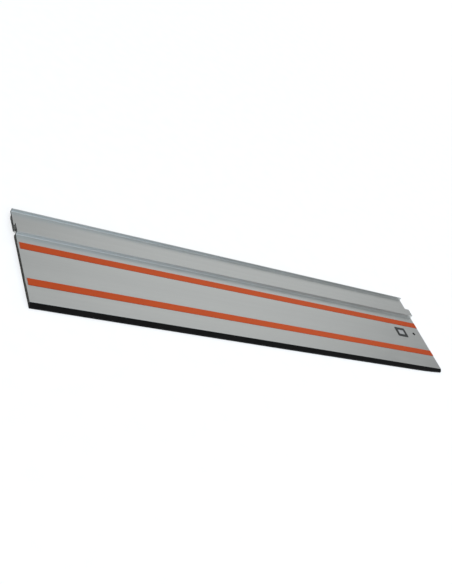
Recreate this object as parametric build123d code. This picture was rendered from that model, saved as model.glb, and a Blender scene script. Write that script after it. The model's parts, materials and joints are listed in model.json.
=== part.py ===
from build123d import *
import os

# Guide rail for a plunge-cut circular saw, in millimetres.
# X runs along the rail, Y across it from the cutting edge to the rear, and Z up.
# The origin is on the work surface, midway along and midway across the whole rail.
# Cross-section values named *_front, *_back or *_start are measured across the rail
# from the aluminium's cutting edge. Heights are measured from the work surface.

# Overall sizes
rail_length = 800.0
profile_width = 174.6  # aluminium only, cutting edge to rear upstand
guard_reach = 7.0  # splinter guard in front of the aluminium
plate_height = 5.6  # top of the plate
rib_rise = 6.0  # guide rib above the plate
upstand_rise = 5.0  # rear upstand above the plate

# Walls of the extrusion
plate_thickness = 2.4
rib_wall = 1.3
rib_roof = 1.9
deck_wall = 1.5
deck_floor = 1.6
upstand_thickness = 1.3
upstand_drop = 1.9
foot_gap = 0.3  # aluminium stays this far off the work surface
foot_radius = 1.5
edge_radius = 0.5
small_radius = 0.3

# Guide rib with the clamp slot inside it
rib_back_margin = 32.0  # back of the rib to the back of the extrusion
rib_width = 16.6
slot_lip = 1.8
front_lip_reach = 0.6
rear_lip_reach = 5.0

# Closed box under the rear deck
ledge_reach = 8.2  # deck beyond the box's rear wall
box_bevel = 1.5

# Glide strips, glued into shallow grooves in the plate
glide_width = 12.6
glide_starts = {"front": 30.5, "rear": 98.5}
groove_depth = 0.5
groove_clearance = 0.3
glide_thickness = 0.75
glide_glue = 0.15
glide_edge_radius = 0.25
glide_insets_left = {"front": 3.6, "rear": 3.0}
glide_inset_right = 0.3

# Strips glued under the plate
under_glue = 0.2
keeper_width = 1.2
keeper_clearance = 0.2
keeper_gap = 0.6  # keeper ribs stay this far off the work surface
guard_leg = 8.0  # splinter guard under the plate
guard_front_gap = 0.1
guard_nose_drop = 2.4
guard_nose_radius = 1.0
guard_step = 0.1

# Hanging hole and label, near the right end
hole_radius = 3.0
hole_from_end = 20.0
hole_start = 81.5
hole_strip_clearance = 2.0
label_length = 27.0
label_width = 22.0
label_thickness = 0.15
label_radius = 2.5
label_from_end = 55.5
label_start = 80.0

# Places that follow from the sizes above
half_length = rail_length / 2
front_y = guard_reach - (profile_width + guard_reach) / 2
plate_under = plate_height - plate_thickness
rib_top = plate_height + rib_rise
upstand_front = profile_width - upstand_thickness
upstand_top = plate_height + upstand_rise
rib_back = profile_width - rib_back_margin
rib_front = rib_back - rib_width
slot_front = rib_front + rib_wall
slot_back = rib_back - rib_wall
slot_sill = foot_gap + slot_lip
box_back = profile_width - ledge_reach
strip_top = plate_under - under_glue
keeper_front = guard_leg + keeper_clearance
keeper_middle = (keeper_front + rib_front) / 2


def block(start, end, low, high):
    """Rectangle in the cross-section."""
    size = Rectangle(end - start, high - low, align=Align.MIN)
    return Pos(front_y + start, low) * size


def outline(*points):
    """Closed straight-sided shape in the cross-section."""
    return make_face(Polyline([(front_y + across, height) for across, height in points], close=True))


def round_corners(section, radius, *points):
    """Round the section's corners that lie at the given points."""
    chosen = []
    for across, height in points:
        place = Vector(front_y + across, height)
        chosen.append(min(section.vertices(), key=lambda corner: (Vector(corner) - place).length))
    return fillet(chosen, radius)


def along(section, start=-half_length, end=half_length):
    """Carry a cross-section along the rail."""
    return extrude(Plane.YZ.offset(start) * section, amount=end - start)


def keeper_ribs():
    """Low ribs under the plate that keep the glued strips in line."""
    ribs = block(keeper_front, keeper_front + keeper_width, keeper_gap, plate_under)
    ribs += block(keeper_middle, keeper_middle + keeper_width, keeper_gap, plate_under)
    return ribs


def clamp_slot():
    """Slot inside the guide rib, open at both ends and along its underside."""
    slot = block(slot_front, slot_back, slot_sill, rib_top - rib_roof)
    slot = round_corners(
        slot,
        small_radius,
        (slot_front, rib_top - rib_roof),
        (slot_back, rib_top - rib_roof),
    )
    mouth_front = slot_front + front_lip_reach
    mouth_back = slot_back - rear_lip_reach
    return slot + block(mouth_front, mouth_back, 0, slot_sill)


def box_hollow():
    """Closed hollow under the rear deck, open at the two ends only."""
    start = rib_back
    end = box_back - rib_wall
    low = foot_gap + deck_floor
    high = plate_height - deck_wall
    hollow = block(start, end, low, high)
    return round_corners(hollow, small_radius, (start, low), (start, high), (end, low), (end, high))


def glide_grooves():
    """Shallow grooves that seat the glide strips."""
    grooves = Sketch()
    for start in glide_starts.values():
        grooves += block(
            start - groove_clearance,
            start + glide_width + groove_clearance,
            plate_height - groove_depth,
            plate_height,
        )
    return grooves


def rail_section():
    """Cross-section of the extrusion."""
    section = block(0, rib_front, plate_under, plate_height)
    section += keeper_ribs()
    section += block(rib_front, rib_back, foot_gap, rib_top)
    section += block(rib_back, box_back, foot_gap, plate_height)
    section += block(box_back, profile_width, plate_height - deck_wall, plate_height)
    section += block(upstand_front, profile_width, plate_height - upstand_drop, upstand_top)
    bevel_foot = (box_back - box_bevel, foot_gap)
    bevel_side = (box_back, foot_gap + box_bevel)
    section -= outline(bevel_foot, (box_back, foot_gap), bevel_side)
    section -= glide_grooves()
    section -= box_hollow()
    section -= clamp_slot()
    section = round_corners(
        section,
        foot_radius,
        (rib_front, plate_height),
        (rib_back, plate_height),
        (upstand_front, plate_height),
    )
    section = round_corners(
        section,
        edge_radius,
        (rib_front, rib_top),
        (rib_back, rib_top),
        (upstand_front, upstand_top),
        (profile_width, upstand_top),
    )
    return round_corners(
        section,
        small_radius,
        (0, plate_height),
        (rib_front, foot_gap),
        (slot_front + front_lip_reach, foot_gap),
        (slot_back - rear_lip_reach, foot_gap),
        (profile_width, plate_height - upstand_drop),
    )


def through_hole(radius):
    """Upright cutter for the hanging hole."""
    place = Pos(half_length - hole_from_end, front_y + hole_start, plate_height / 2)
    return place * Cylinder(radius, 2 * plate_height)


def rail_profile():
    """Aluminium extrusion with its hanging hole."""
    return along(rail_section()) - through_hole(hole_radius)


def along_glide(section, side):
    """Carry a cross-section along one of the glide strips, front or rear."""
    return along(section, glide_insets_left[side] - half_length, half_length - glide_inset_right)


def glide_strip(side):
    """Low-friction strip that the saw's base slides on."""
    start = glide_starts[side]
    end = start + glide_width
    low = plate_height - groove_depth + glide_glue
    high = low + glide_thickness
    section = round_corners(block(start, end, low, high), glide_edge_radius, (start, high), (end, high))
    return along_glide(section, side)


def glide_adhesive(side):
    """Adhesive film under a glide strip."""
    start = glide_starts[side]
    low = plate_height - groove_depth
    return along_glide(block(start, start + glide_width, low, low + glide_glue), side)


def splinter_guard():
    """Black lip that covers the front edge and reaches the cut line."""
    inner = -guard_front_gap
    nose = -guard_reach
    nose_height = plate_height - guard_nose_drop
    section = outline(
        (inner, plate_height - guard_step),
        (nose, nose_height),
        (nose, 0),
        (guard_leg, 0),
        (guard_leg, strip_top),
        (inner, strip_top),
    )
    section = round_corners(section, guard_nose_radius, (nose, nose_height))
    section = round_corners(section, small_radius, (nose, 0))
    return along(section)


def guard_adhesive():
    """Adhesive film between the splinter guard and the plate."""
    return along(block(0, guard_leg, strip_top, plate_under))


def grip_bay(side):
    """Start and end of a grip strip, between its neighbours under the plate."""
    bays = {
        "front": (keeper_front + keeper_width, keeper_middle),
        "rear": (keeper_middle + keeper_width, rib_front),
    }
    start, end = bays[side]
    return start + keeper_clearance, end - keeper_clearance


def under_strip(start, end, low, high):
    """Flat strip under the plate, with room around the hanging hole."""
    return along(block(start, end, low, high)) - through_hole(hole_radius + hole_strip_clearance)


def blank_label():
    """Plain self-adhesive label on the plate."""
    place = Pos(half_length - label_from_end, front_y + label_start, plate_height)
    face = RectangleRounded(label_length, label_width, label_radius)
    return place * extrude(face, amount=label_thickness)


def build():
    """Every separate piece, by name."""
    pieces = {
        "rail_profile": rail_profile(),
        "splinter_guard": splinter_guard(),
        "splinter_guard_adhesive": guard_adhesive(),
        "blank_label": blank_label(),
    }
    for side in ("front", "rear"):
        start, end = grip_bay(side)
        pieces[f"{side}_glide_strip"] = glide_strip(side)
        pieces[f"{side}_glide_adhesive"] = glide_adhesive(side)
        pieces[f"{side}_grip_strip"] = under_strip(start, end, 0, strip_top)
        pieces[f"{side}_grip_adhesive"] = under_strip(start, end, strip_top, plate_under)
    return pieces


os.makedirs("parts", exist_ok=True)
for node, piece in build().items():
    export_step(piece, f"parts/{node}.step")
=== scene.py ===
"""Looks of a plunge saw's guide rail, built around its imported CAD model. Metres throughout."""

import json
import math

import bmesh
import bpy
from mathutils import Matrix, Vector
from mathutils.geometry import tessellate_polygon


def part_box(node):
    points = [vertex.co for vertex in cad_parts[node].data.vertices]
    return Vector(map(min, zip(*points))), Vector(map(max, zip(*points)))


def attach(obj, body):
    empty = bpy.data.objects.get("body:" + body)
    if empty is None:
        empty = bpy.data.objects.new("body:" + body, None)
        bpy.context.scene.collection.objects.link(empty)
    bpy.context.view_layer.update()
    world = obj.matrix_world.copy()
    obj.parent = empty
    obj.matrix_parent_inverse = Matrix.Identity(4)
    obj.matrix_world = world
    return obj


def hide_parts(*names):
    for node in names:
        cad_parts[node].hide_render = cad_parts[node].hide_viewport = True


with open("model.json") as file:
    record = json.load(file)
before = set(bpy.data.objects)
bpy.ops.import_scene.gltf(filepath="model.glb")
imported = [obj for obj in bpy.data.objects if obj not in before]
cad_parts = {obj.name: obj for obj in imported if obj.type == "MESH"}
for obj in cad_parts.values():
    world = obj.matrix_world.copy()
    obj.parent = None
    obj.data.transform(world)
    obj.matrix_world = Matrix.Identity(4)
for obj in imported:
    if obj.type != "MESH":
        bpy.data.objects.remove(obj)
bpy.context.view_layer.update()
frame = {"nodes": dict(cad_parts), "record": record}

MM = 0.001

# Places read from the frame
rail_low, rail_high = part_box("rail_profile")
label_low, label_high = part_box("blank_label")
plate_top = label_low.z
left_end = rail_low.x
right_end = rail_high.x

# Finishing sizes that the CAD model leaves plain
end_bevel = 0.25 * MM
hole_bevel = 0.3 * MM
hole_sides = 64
cutter_overrun = 1 * MM
smooth_angle = math.radians(32)
flat_face_weight = 80

# Splinter guard's trimmed edge: fuller at the middle, leaner at the ends and worn back at the right
guard_stations = 320
guard_edge_depth = 1.5 * MM
guard_full_middle = 0.35 * MM
guard_lean_ends = 0.5 * MM
guard_worn_length = 60 * MM
guard_worn_depth = 2.4 * MM
guard_waviness = 0.09 * MM
# Waves along the edge, as (share, radians per metre, phase)
guard_waves = ((1.0, 61.0, 0.0), (0.7, 149.0, 1.3), (0.5, 367.0, 4.1), (0.4, 811.0, 2.2))

# Blank field printed on the label
label_border_along = 6.5 * MM
label_border_across = 6 * MM
label_field_radius = 1 * MM
label_field_sink = 0.01 * MM
label_field_rise = 0.03 * MM
quarter_steps = 8

# Camera, placed from the front left corner of the plate's top
camera_offset = Vector((-391.2, -702.4, 676.6)) * MM
camera_azimuth = math.radians(42.74)
camera_pitch = math.radians(-31.97)
camera_roll = math.radians(37.41)
camera_lens = 49.91
camera_sensor = 36.0

# Key light, as the direction it comes from
key_azimuth = math.radians(262)
key_height = math.radians(66)
key_angle = math.radians(44)
key_strength = 2.5
key_colour = (0.96, 0.98, 1.0)

# Soft box behind the rail, which gives the plate its sheen
box_azimuth = math.radians(39.5)
box_height = math.radians(33)
box_distance = 5.0
box_size = 2.6
box_power = 10.2

# Cool soft box in front of the rail's left end
front_azimuth = math.radians(158)
front_height = math.radians(27)
front_distance = 3.0
front_size = 1.6
front_power = 10.5
front_colour = (0.6, 0.8, 1.0)

# Even surround, and the floor
surround_strength = 0.365
surround_colour = (0.97, 0.985, 1.0, 1.0)
floor_half = 30.0
floor_drop = 0.02 * MM

# Tolerances of the mesh helpers
places_kept = 6
end_tolerance = 0.001 * MM
sharpest_lean = 0.6
level_normal = 0.9
end_normal = 0.5


# ---------------------------------------------------------------- node helpers

class Shader:
    """A Principled material with short calls for its texture nodes."""

    def __init__(self, name, **sockets):
        self.material = bpy.data.materials.new(name)
        self.material.use_nodes = True
        self.tree = self.material.node_tree
        self.principled = self.tree.nodes["Principled BSDF"]
        for socket, value in sockets.items():
            self.principled.inputs[socket.replace("_", " ")].default_value = value
        coordinates = self.tree.nodes.new("ShaderNodeTexCoord")
        self.place = coordinates.outputs["Object"]

    def node(self, kind, **settings):
        made = self.tree.nodes.new(kind)
        for key, value in settings.items():
            setattr(made, key, value)
        return made

    def link(self, source, target):
        self.tree.links.new(source, target)

    def scaled(self, scale):
        """Object coordinates multiplied by a scale along each axis."""
        mapping = self.node("ShaderNodeMapping")
        mapping.inputs["Scale"].default_value = scale
        self.link(self.place, mapping.inputs["Vector"])
        return mapping.outputs["Vector"]

    def noise(self, scale, detail, roughness=0.5):
        """Noise whose scale is given along each axis, in features per metre."""
        texture = self.node("ShaderNodeTexNoise")
        texture.inputs["Scale"].default_value = 1.0
        texture.inputs["Detail"].default_value = detail
        texture.inputs["Roughness"].default_value = roughness
        self.link(self.scaled(scale), texture.inputs["Vector"])
        return texture.outputs["Fac"]

    def cells(self, scale):
        """Distance to the nearest cell centre."""
        texture = self.node("ShaderNodeTexVoronoi")
        texture.inputs["Scale"].default_value = 1.0
        self.link(self.scaled(scale), texture.inputs["Vector"])
        return texture.outputs["Distance"]

    def spread(self, value, low, high, to_low, to_high):
        """A value mapped from one range to another, and held at its ends."""
        ranged = self.node("ShaderNodeMapRange")
        for socket, number in zip(ranged.inputs[1:5], (low, high, to_low, to_high)):
            socket.default_value = number
        self.link(value, ranged.inputs["Value"])
        return ranged.outputs["Result"]

    def sum(self, *values):
        """Values added up."""
        total = values[0]
        for value in values[1:]:
            plus = self.node("ShaderNodeMath", operation="ADD")
            self.link(total, plus.inputs[0])
            self.link(value, plus.inputs[1])
            total = plus.outputs[0]
        return total

    def colours(self, value, *stops):
        """Colour ramp over a value, from (position, red, green, blue) stops."""
        ramp = self.node("ShaderNodeValToRGB")
        elements = ramp.color_ramp.elements
        while len(elements) < len(stops):
            elements.new(0.5)
        for element, (position, *colour) in zip(elements, stops):
            element.position = position
            element.color = (*colour, 1.0)
        self.link(value, ramp.inputs["Fac"])
        return ramp.outputs["Color"]

    def base(self, colour):
        self.link(colour, self.principled.inputs["Base Color"])

    def roughness(self, value):
        self.link(value, self.principled.inputs["Roughness"])

    def bump(self, height, distance, strength):
        bump = self.node("ShaderNodeBump")
        bump.inputs["Distance"].default_value = distance
        bump.inputs["Strength"].default_value = strength
        self.link(height, bump.inputs["Height"])
        self.link(bump.outputs["Normal"], self.principled.inputs["Normal"])


# ---------------------------------------------------------------- materials

def anodised_aluminium():
    """Natural anodised extrusion: die lines along the rail, soft mottling and small marks."""
    shader = Shader("anodised_aluminium", Metallic=1.0)
    lines = shader.noise((2.5, 1400, 1400), detail=4, roughness=0.65)
    bands = shader.noise((0.8, 110, 110), detail=2)
    mottle = shader.noise((16, 34, 34), detail=5, roughness=0.6)
    grain = shader.noise((900, 1500, 1500), detail=2)
    tone = shader.sum(
        shader.spread(lines, 0.3, 0.7, 0.0, 0.34),
        shader.spread(bands, 0.3, 0.7, 0.0, 0.26),
        shader.spread(mottle, 0.3, 0.7, 0.0, 0.28),
        shader.spread(grain, 0.3, 0.7, 0.0, 0.12),
    )
    shader.base(shader.colours(tone, (0.0, 0.568, 0.583, 0.568), (1.0, 0.662, 0.675, 0.66)))
    shader.roughness(
        shader.sum(
            shader.spread(lines, 0.25, 0.75, 0.33, 0.41),
            shader.spread(mottle, 0.3, 0.7, 0.0, 0.07),
        )
    )
    shader.bump(shader.sum(lines, shader.spread(grain, 0.3, 0.7, 0.0, 0.3)), 0.012 * MM, 0.6)
    return shader.material


def sawn_aluminium_painted_shade():
    """Dull sawn end of the extrusion, also used on the drilled hole wall, with the blade's curved
    marks; its almost black colour is painted shade for faces turned away from the light.
    """
    shader = Shader("sawn_aluminium_painted_shade", Metallic=0.05, Specular_IOR_Level=0.06)
    marks = shader.node("ShaderNodeTexWave", wave_type="RINGS", rings_direction="X")
    marks.inputs["Scale"].default_value = 120.0
    marks.inputs["Distortion"].default_value = 1.5
    offset = shader.node("ShaderNodeMapping")
    offset.inputs["Location"].default_value = (0.0, 0.02, 0.16)
    shader.link(shader.place, offset.inputs["Vector"])
    shader.link(offset.outputs["Vector"], marks.inputs["Vector"])
    grain = shader.noise((600, 900, 900), detail=4)
    tone = shader.sum(
        shader.spread(marks.outputs["Fac"], 0.0, 1.0, 0.0, 0.5),
        shader.spread(grain, 0.3, 0.7, 0.0, 0.5),
    )
    # Almost black colour is painted shade: the sawn ends and hole wall are coloured as dark as they
    # look away from the light.
    shader.base(shader.colours(tone, (0.0, 0.009, 0.0095, 0.0095), (1.0, 0.024, 0.025, 0.025)))
    shader.roughness(shader.spread(grain, 0.3, 0.7, 0.45, 0.65))
    shader.bump(marks.outputs["Fac"], 0.03 * MM, 0.7)
    return shader.material


def orange_glide():
    """Smooth low-friction plastic with fine rubbed lines; its colour is lighter along the middle of
    the rail and a little duller towards both ends, which is painted sheen.
    """
    shader = Shader("orange_glide", Metallic=0.0, Specular_IOR_Level=0.12)
    axes = shader.node("ShaderNodeSeparateXYZ")
    shader.link(shader.place, axes.inputs["Vector"])
    sheen_from_middle = shader.node("ShaderNodeMath", operation="ABSOLUTE")
    shader.link(axes.outputs["X"], sheen_from_middle.inputs[0])
    rubs = shader.noise((4, 1100, 1100), detail=3, roughness=0.6)
    mottle = shader.noise((30, 60, 60), detail=4)
    # Painted sheen: the colour is lighter along the middle of the rail and deeper towards both
    # ends.
    tone = shader.sum(
        shader.spread(rubs, 0.3, 0.7, 0.0, 0.25),
        shader.spread(mottle, 0.3, 0.7, 0.0, 0.25),
        shader.spread(sheen_from_middle.outputs[0], 0.15, 0.4, 0.5, 0.0),
    )
    shader.base(shader.colours(tone, (0.0, 0.36, 0.046, 0.0075), (1.0, 0.455, 0.069, 0.0145)))
    shader.roughness(
        shader.sum(
            shader.spread(rubs, 0.3, 0.7, 0.36, 0.47),
            shader.spread(mottle, 0.3, 0.7, 0.0, 0.08),
        )
    )
    shader.bump(rubs, 0.01 * MM, 0.5)
    return shader.material


def black_guard():
    """Black extruded rubber lip with a faint bloom and draw lines."""
    shader = Shader("black_guard", Metallic=0.0, Specular_IOR_Level=0.08)
    lines = shader.noise((6, 1600, 1600), detail=3)
    bloom = shader.noise((45, 90, 90), detail=5, roughness=0.65)
    tone = shader.sum(
        shader.spread(lines, 0.3, 0.7, 0.0, 0.4),
        shader.spread(bloom, 0.35, 0.75, 0.0, 0.6),
    )
    shader.base(shader.colours(tone, (0.0, 0.0022, 0.0023, 0.0023), (1.0, 0.006, 0.0062, 0.0062)))
    shader.roughness(shader.spread(bloom, 0.3, 0.7, 0.42, 0.58))
    shader.bump(lines, 0.02 * MM, 0.5)
    return shader.material


def black_grip():
    """Matt cellular rubber with open pores."""
    shader = Shader("black_grip", Metallic=0.0, Specular_IOR_Level=0.08)
    pores = shader.cells((1500, 1500, 1500))
    dust = shader.noise((60, 60, 60), detail=6, roughness=0.7)
    tone = shader.sum(
        shader.spread(pores, 0.0, 0.7, 0.0, 0.5),
        shader.spread(dust, 0.35, 0.75, 0.0, 0.5),
    )
    shader.base(shader.colours(tone, (0.0, 0.006, 0.006, 0.006), (1.0, 0.02, 0.02, 0.019)))
    shader.roughness(shader.spread(dust, 0.3, 0.7, 0.78, 0.92))
    shader.bump(pores, 0.12 * MM, 0.8)
    return shader.material


def adhesive_film():
    """Translucent double-sided tape, seen only along its edges."""
    shader = Shader("adhesive_film", Metallic=0.0, Transmission_Weight=0.15, IOR=1.48)
    fibres = shader.noise((300, 900, 900), detail=5, roughness=0.7)
    shader.base(shader.colours(fibres, (0.3, 0.20, 0.185, 0.15), (0.7, 0.30, 0.28, 0.23)))
    shader.roughness(shader.spread(fibres, 0.3, 0.7, 0.4, 0.6))
    shader.bump(fibres, 0.02 * MM, 0.5)
    return shader.material


def printed_film(name, dark, light, roughness):
    """Printed label film with a faint screen texture."""
    shader = Shader(name, Metallic=0.0, Specular_IOR_Level=0.4)
    screen = shader.cells((2600, 2600, 2600))
    cloud = shader.noise((120, 120, 120), detail=4)
    tone = shader.sum(
        shader.spread(screen, 0.0, 0.7, 0.0, 0.4),
        shader.spread(cloud, 0.3, 0.7, 0.0, 0.6),
    )
    shader.base(shader.colours(tone, (0.0, *dark), (1.0, *light)))
    shader.roughness(shader.spread(cloud, 0.3, 0.7, roughness - 0.05, roughness + 0.05))
    shader.bump(screen, 0.006 * MM, 0.5)
    return shader.material


def studio_floor():
    """Pale seamless paper."""
    shader = Shader("studio_floor", Roughness=0.9, Specular_IOR_Level=0.1)
    fibres = shader.noise((40, 40, 40), detail=6)
    shader.base(shader.colours(fibres, (0.3, 0.90, 0.90, 0.90), (0.7, 0.92, 0.92, 0.92)))
    return shader.material


# ---------------------------------------------------------------- mesh helpers

def end_outlines(node):
    """Closed (y, z) outlines of a CAD node's left end face, in the order of its faces' corners."""
    mesh = frame["nodes"][node].data
    follows = {}
    low_x = min(vertex.co.x for vertex in mesh.vertices)
    for polygon in mesh.polygons:
        corners = [mesh.vertices[index].co for index in polygon.vertices]
        if any(corner.x - low_x > end_tolerance for corner in corners):
            continue
        keys = [(round(corner.y, places_kept), round(corner.z, places_kept)) for corner in corners]
        for start, end in zip(keys, keys[1:] + keys[:1]):
            if start in follows.get(end, []):
                follows[end].remove(start)
            else:
                follows.setdefault(start, []).append(end)
    outlines = []
    while any(follows.values()):
        start = next(key for key, ends in follows.items() if ends)
        outline = [start]
        while follows[outline[-1]]:
            following = follows[outline[-1]].pop()
            if following == start:
                break
            outline.append(following)
        outlines.append(outline)
    return outlines


def inset(outline, distance):
    """Outline moved into its own face by a distance, corner by corner."""
    count = len(outline)
    moved = []
    for index in range(count):
        before = Vector(outline[index - 1])
        here = Vector(outline[index])
        after = Vector(outline[(index + 1) % count])
        first = (here - before).normalized()
        second = (after - here).normalized()
        normal_first = Vector((first.y, -first.x))
        normal_second = Vector((second.y, -second.x))
        middle = normal_first + normal_second
        lean = max(middle.dot(normal_first), sharpest_lean)
        moved.append(tuple(here + middle * (distance / lean)))
    return moved


def swept(name, outlines, stations, bevel, shift=None):
    """Solid that carries closed outlines along X, with bevelled ends."""
    first, last = stations[0], stations[-1]
    places = [first, first + bevel, *stations[1:-1], last - bevel, last]
    vertices = []
    faces = []
    starts = []
    for outline in outlines:
        smaller = inset(outline, bevel)
        starts.append(len(vertices))
        for place in places:
            ring = smaller if place in (first, last) else outline
            for y, z in ring:
                point = Vector((place, y, z))
                vertices.append(point + shift(point) if shift else point)
        count = len(outline)
        for step in range(len(places) - 1):
            ring_start = starts[-1] + step * count
            for index in range(count):
                after = (index + 1) % count
                faces.append((
                    ring_start + index,
                    ring_start + after,
                    ring_start + count + after,
                    ring_start + count + index,
                ))
    for step in (0, len(places) - 1):
        rings = []
        for outline, start in zip(outlines, starts):
            ring_start = start + step * len(outline)
            rings.append(range(ring_start, ring_start + len(outline)))
        faces += filled(vertices, rings)
    return mesh_object(name, vertices, faces)


def filled(vertices, rings):
    """Triangles that fill flat rings of vertex numbers, with the inner rings as holes."""
    numbers = [number for ring in rings for number in ring]
    loops = [[Vector(vertices[number]) for number in ring] for ring in rings]
    return [tuple(numbers[i] for i in triangle) for triangle in tessellate_polygon(loops)]


def mesh_object(name, vertices, faces):
    """Object with a new mesh, whose faces are turned outwards."""
    mesh = bpy.data.meshes.new(name)
    mesh.from_pydata([tuple(vertex) for vertex in vertices], [], faces)
    mesh.validate()
    work = bmesh.new()
    work.from_mesh(mesh)
    bmesh.ops.recalc_face_normals(work, faces=work.faces)
    work.to_mesh(mesh)
    work.free()
    made = bpy.data.objects.new(name, mesh)
    bpy.context.scene.collection.objects.link(made)
    return made


def shade(made):
    """Smooth shading that keeps flat faces flat and corners sharp."""
    for polygon in made.data.polygons:
        polygon.use_smooth = True
    made.data.set_sharp_from_angle(angle=smooth_angle)
    modifier = made.modifiers.new("Weighted normals", "WEIGHTED_NORMAL")
    modifier.keep_sharp = True
    modifier.weight = flat_face_weight


def apply_modifiers(made):
    """Replace the object's mesh by its modified mesh."""
    graph = bpy.context.evaluated_depsgraph_get()
    graph.update()
    mesh = bpy.data.meshes.new_from_object(made.evaluated_get(graph))
    made.modifiers.clear()
    made.data = mesh


def lathe(name, profile, centre, sides):
    """Closed solid turned about an upright axis, from (radius, height) points."""
    vertices = []
    faces = []
    for radius, height in profile:
        for side in range(sides):
            angle = 2 * math.pi * side / sides
            vertices.append((
                centre.x + radius * math.cos(angle),
                centre.y + radius * math.sin(angle),
                height,
            ))
    for ring in range(len(profile) - 1):
        for side in range(sides):
            after = (side + 1) % sides
            start = ring * sides
            faces.append((start + side, start + after, start + sides + after, start + sides + side))
    faces.append(tuple(range(sides))[::-1])
    faces.append(tuple(range((len(profile) - 1) * sides, len(profile) * sides)))
    return mesh_object(name, vertices, faces)


def cut(made, cutter):
    """Take one solid out of another, and delete the cutter."""
    modifier = made.modifiers.new("Cut", "BOOLEAN")
    modifier.operation = "DIFFERENCE"
    modifier.solver = "EXACT"
    modifier.object = cutter
    apply_modifiers(made)
    bpy.data.objects.remove(cutter)


# ---------------------------------------------------------------- pieces

def hanging_hole():
    """Centre, radius and depth of the hanging hole, from the mount that describes it."""
    mount = next(mount for mount in frame["record"]["mounts"] if mount["name"] == "hanging_hole")
    return Vector(mount["pos_m"]), mount["dims"]["r_mm"] * MM, mount["dims"]["length_mm"] * MM


def gets_painted_shade(polygon, centre, radius):
    """True on the sawn ends and their bevels, and on the drilled wall of the hanging hole, which
    all get the almost black material that paints shade on them.
    """
    if (polygon.center.xy - centre.xy).length < radius + hole_bevel:
        return abs(polygon.normal.z) < level_normal
    return abs(polygon.normal.x) > end_normal


def make_rail():
    """The extrusion with bevelled sawn ends and a deburred hanging hole."""
    rail = swept("rail", end_outlines("rail_profile"), [left_end, right_end], end_bevel)
    centre, radius, depth = hanging_hole()
    top = centre.z + depth / 2
    bottom = centre.z - depth / 2
    profile = [
        (radius + hole_bevel + cutter_overrun, bottom - cutter_overrun),
        (radius + hole_bevel, bottom),
        (radius, bottom + hole_bevel),
        (radius, top - hole_bevel),
        (radius + hole_bevel, top),
        (radius + hole_bevel + cutter_overrun, top + cutter_overrun),
    ]
    cut(rail, lathe("hole_cutter", profile, centre, hole_sides))
    rail.data.materials.clear()
    rail.data.materials.append(anodised_aluminium())
    rail.data.materials.append(sawn_aluminium_painted_shade())
    # Sawn ends, their bevels and the hole wall take the almost black material, which is painted
    # shade.
    for polygon in rail.data.polygons:
        polygon.material_index = int(gets_painted_shade(polygon, centre, radius))
    shade(rail)
    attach(rail, "root")
    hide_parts("rail_profile")


def lip_shift(point):
    """How far the splinter guard's trimmed edge lies from straight, at a point of the guard."""
    if point.y > rail_low.y:
        return Vector()
    depth_share = min((rail_low.y - point.y) / guard_edge_depth, 1.0)
    end_share = (2 * point.x / (right_end - left_end)) ** 2
    worn_share = max(0.0, (point.x - right_end) / guard_worn_length + 1)
    wave = sum(share * math.sin(point.x * rate + phase) for share, rate, phase in guard_waves)
    highest_wave = sum(share for share, rate, phase in guard_waves)
    inwards = (
        guard_waviness * (1 + wave / highest_wave) / 2
        + guard_lean_ends * end_share
        - guard_full_middle * (1 - end_share)
        + guard_worn_depth * worn_share ** 2
    )
    return Vector((0, inwards * depth_share, 0))


def make_guard():
    """Splinter guard with a slightly uneven trimmed edge."""
    low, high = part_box("splinter_guard")
    length = high.x - low.x
    stations = [low.x + length * step / guard_stations for step in range(guard_stations + 1)]
    guard = swept("guard_lip", end_outlines("splinter_guard"), stations, end_bevel, lip_shift)
    guard.data.materials.append(black_guard())
    shade(guard)
    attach(guard, "root")
    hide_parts("splinter_guard")


def rounded_sheet(name, centre, length, width, radius, low, high):
    """Thin flat sheet with rounded corners."""
    ring = []
    for quarter, (along, across) in enumerate(((1, 1), (-1, 1), (-1, -1), (1, -1))):
        for step in range(quarter_steps + 1):
            angle = math.pi / 2 * (quarter + step / quarter_steps)
            ring.append((
                centre.x + along * (length / 2 - radius) + radius * math.cos(angle),
                centre.y + across * (width / 2 - radius) + radius * math.sin(angle),
            ))
    count = len(ring)
    vertices = [(x, y, height) for height in (low, high) for x, y in ring]
    faces = []
    for index in range(count):
        after = (index + 1) % count
        faces.append((index, after, count + after, count + index))
    faces += filled(vertices, [range(count)])
    faces += filled(vertices, [range(count, 2 * count)])
    return mesh_object(name, vertices, faces)


def make_label():
    """Plain label: dark film with one blank pale field."""
    film = printed_film("label_film", (0.012, 0.014, 0.0135), (0.02, 0.0225, 0.022), 0.42)
    dress(frame["nodes"]["blank_label"], film)
    size = label_high - label_low
    field = rounded_sheet(
        "label_field",
        (label_low + label_high) / 2,
        size.x - 2 * label_border_along,
        size.y - 2 * label_border_across,
        label_field_radius,
        label_high.z - label_field_sink,
        label_high.z + label_field_rise,
    )
    field.data.materials.append(
        printed_film("label_pale_print", (0.27, 0.275, 0.275), (0.33, 0.335, 0.335), 0.45)
    )
    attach(field, "root")


def dress(node, material):
    """Give a CAD node its finished material."""
    if not node.data.materials:
        node.data.materials.append(material)
    for index in range(len(node.data.materials)):
        node.data.materials[index] = material


def dress_strips():
    """Materials of the glued strips that keep their CAD shape."""
    orange = orange_glide()
    rubber = black_grip()
    film = adhesive_film()
    for side in ("front", "rear"):
        dress(frame["nodes"][f"{side}_glide_strip"], orange)
        dress(frame["nodes"][f"{side}_grip_strip"], rubber)
        dress(frame["nodes"][f"{side}_glide_adhesive"], film)
        dress(frame["nodes"][f"{side}_grip_adhesive"], film)
    dress(frame["nodes"]["splinter_guard_adhesive"], film)


# ---------------------------------------------------------------- stage

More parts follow.
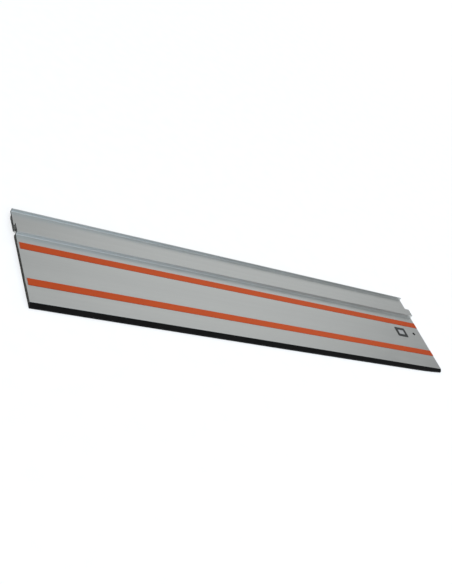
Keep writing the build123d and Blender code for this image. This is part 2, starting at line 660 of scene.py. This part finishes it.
def make_floor():
    """Wide pale floor under the rail."""
    signs = ((-1, -1), (1, -1), (1, 1), (-1, 1))
    corners = [(along * floor_half, across * floor_half, 0) for along, across in signs]
    mesh = bpy.data.meshes.new("floor")
    mesh.from_pydata(corners, [], [(0, 1, 2, 3)])
    floor = bpy.data.objects.new("floor", mesh)
    bpy.context.scene.collection.objects.link(floor)
    floor.location.z = -floor_drop
    mesh.materials.append(studio_floor())


def make_camera():
    """Camera at the front left, looking along the rail and rolled."""
    data = bpy.data.cameras.new("camera")
    data.lens = camera_lens
    data.sensor_width = camera_sensor
    camera = bpy.data.objects.new("camera", data)
    bpy.context.scene.collection.objects.link(camera)
    forward = towards(camera_azimuth, camera_pitch)
    level_right = forward.cross(Vector((0, 0, 1))).normalized()
    level_up = level_right.cross(forward)
    right = level_right * math.cos(camera_roll) + level_up * math.sin(camera_roll)
    up = level_up * math.cos(camera_roll) - level_right * math.sin(camera_roll)
    turn = Matrix((right, up, -forward)).transposed()
    place = Vector((left_end, rail_low.y, plate_top)) + camera_offset
    camera.matrix_world = Matrix.Translation(place) @ turn.to_4x4()
    bpy.context.scene.camera = camera


def towards(azimuth, height):
    """Unit vector for an azimuth from +Y towards +X, and a height above the horizon."""
    return Vector((
        math.cos(height) * math.sin(azimuth),
        math.cos(height) * math.cos(azimuth),
        math.sin(height),
    ))


def area_light(name, place, target, size, power, colour=(1, 1, 1)):
    """Square soft box facing a point."""
    data = bpy.data.lights.new(name, "AREA")
    data.size = size
    data.energy = power
    data.color = colour
    light = bpy.data.objects.new(name, data)
    bpy.context.scene.collection.objects.link(light)
    light.location = place
    light.rotation_euler = (Vector(target) - Vector(place)).to_track_quat("-Z", "Y").to_euler()


def make_lights():
    """Soft studio light: an even surround, a broad overhead key and two soft boxes."""
    world = bpy.data.worlds.new("studio")
    world.use_nodes = True
    background = world.node_tree.nodes["Background"]
    background.inputs["Color"].default_value = surround_colour
    background.inputs["Strength"].default_value = surround_strength
    bpy.context.scene.world = world
    data = bpy.data.lights.new("key", "SUN")
    data.energy = key_strength
    data.angle = key_angle
    data.color = key_colour
    key = bpy.data.objects.new("key", data)
    bpy.context.scene.collection.objects.link(key)
    key.rotation_euler = towards(key_azimuth, key_height).to_track_quat("Z", "Y").to_euler()
    place = towards(box_azimuth, box_height) * box_distance
    area_light("soft_box", place, (0, 0, 0), box_size, box_power)
    left = Vector((left_end, 0, 0))
    place = left + towards(front_azimuth, front_height) * front_distance
    area_light("front_box", place, left, front_size, front_power, front_colour)


def set_display():
    """Plain display, so that colours come out as the lights and materials make them."""
    settings = bpy.context.scene.view_settings
    settings.view_transform = "Standard"
    settings.look = "None"


make_camera()
make_rail()
make_guard()
dress_strips()
make_label()
make_floor()
make_lights()
set_display()
